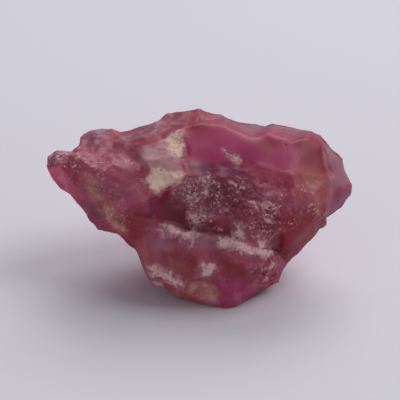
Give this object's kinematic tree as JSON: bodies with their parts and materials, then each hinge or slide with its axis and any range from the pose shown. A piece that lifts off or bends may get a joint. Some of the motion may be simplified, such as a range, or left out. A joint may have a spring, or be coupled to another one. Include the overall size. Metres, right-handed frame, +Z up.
{
  "type": "raw ruby crystal",
  "caption": "Rough, broken piece of translucent red corundum that stands on a small flat worn face.",
  "frame": {"origin": "middle of the stone's box, at the height of the flat face it rests on", "axes": "+X along the stone's length from its tip to its wing, -Y towards its front, +Z up"},
  "size_m": [0.0206, 0.0114, 0.0106],
  "materials": {
    "ruby": "broken, cloudy translucent, waxy to glassy"
  },
  "bodies": {
    "root": {"ruby_crystal": "ruby"}
  },
  "joints": []
}
